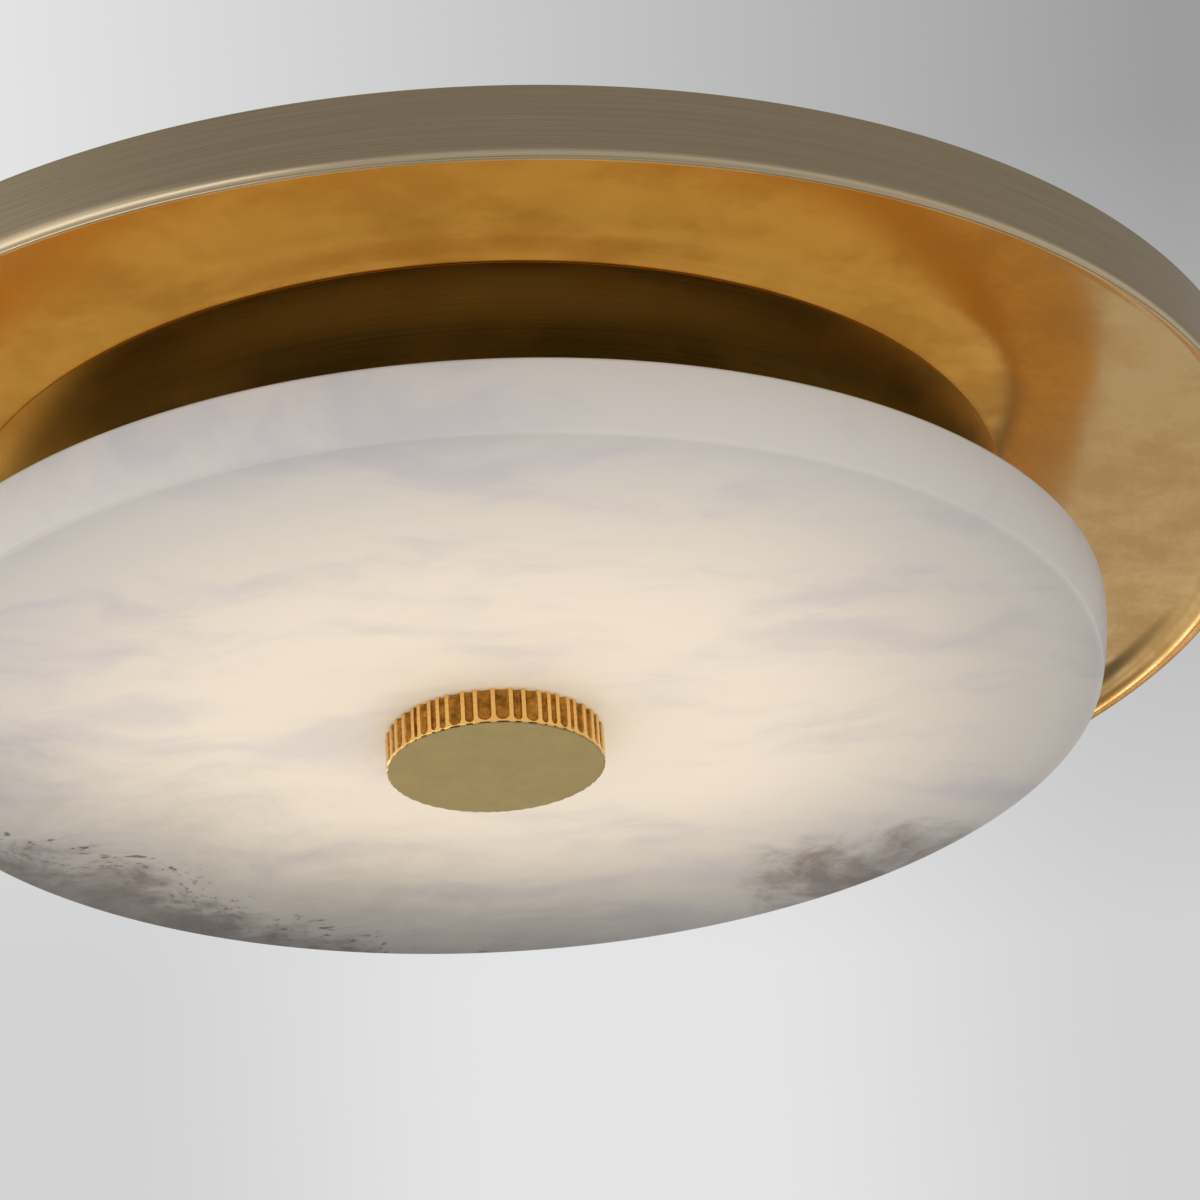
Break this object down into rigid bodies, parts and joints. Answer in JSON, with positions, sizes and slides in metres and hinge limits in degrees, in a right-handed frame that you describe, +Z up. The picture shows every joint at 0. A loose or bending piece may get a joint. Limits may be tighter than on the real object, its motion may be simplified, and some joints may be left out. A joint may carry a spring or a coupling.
{
  "type": "flush mount ceiling light",
  "caption": "Flush ceiling light: a spun brass dish and drum carry an alabaster disc, held up by a ribbed cast boss.",
  "frame": {"origin": "on the light's axis in the ceiling plane, midway between the mounting strap's two slots", "axes": "+Z up into the ceiling, +X along the mounting strap; the light hangs below z = 0"},
  "size_m": [0.4579, 0.458, 0.0812],
  "materials": {
    "alabaster": "honed alabaster, lit from above",
    "board_white": "white solder mask on an aluminium core",
    "brushed_brass": "antique brass, brushed round",
    "case_white": "moulded plastic",
    "cast_brass": "cast brass, patinated in the grooves",
    "chip_yellow": "yellow phosphor",
    "earth_green": "green insulated wire",
    "fibre": "red fibre",
    "lead_white": "insulated wire",
    "nylon": "natural nylon",
    "silicone": "translucent silicone",
    "white_enamel": "white powder coat",
    "zinc_steel": "zinc plated"
  },
  "bodies": {
    "fixture": {"mounting_strap": "zinc_steel", "strap_studs": "zinc_steel", "stud_washers": "zinc_steel", "stud_nuts": "zinc_steel", "dish": "brushed_brass", "drum": "brushed_brass", "drum_screws": "zinc_steel", "drum_gasket": "silicone", "wire_bushing": "nylon", "rod_flange": "zinc_steel", "flange_screws": "zinc_steel", "centre_rod": "zinc_steel", "rod_locknut": "zinc_steel", "standoffs": "zinc_steel", "led_carrier": "white_enamel", "carrier_screws": "zinc_steel", "led_board": "board_white", "led_chips": "chip_yellow", "board_screws": "zinc_steel", "driver_case": "case_white", "driver_screws": "zinc_steel", "terminal_block": "nylon", "terminal_screws": "zinc_steel", "terminal_fixings": "zinc_steel", "input_leads": "lead_white", "output_leads": "lead_white", "earth_tag": "zinc_steel", "earth_screw": "zinc_steel", "earth_lead": "earth_green"},
    "stone": {"alabaster_disc": "alabaster", "stone_sleeve": "nylon", "boss_washer": "fibre"},
    "boss": {"boss": "cast_brass"}
  },
  "joints": [
    {"name": "stone_lower", "type": "slide", "parent": "fixture", "child": "stone", "axis": [0, 0, -1], "range_m": [0, 0.007]},
    {"name": "boss_turn", "type": "hinge", "parent": "stone", "child": "boss", "pos_m": [0, 0, -0.0758], "axis": [0, 0, -1], "range_deg": [0, 2520]}
  ],
  "couplings": [
    {"joint": "boss_turn", "follows": "stone_lower", "rad_per_m": 6283.2}
  ]
}
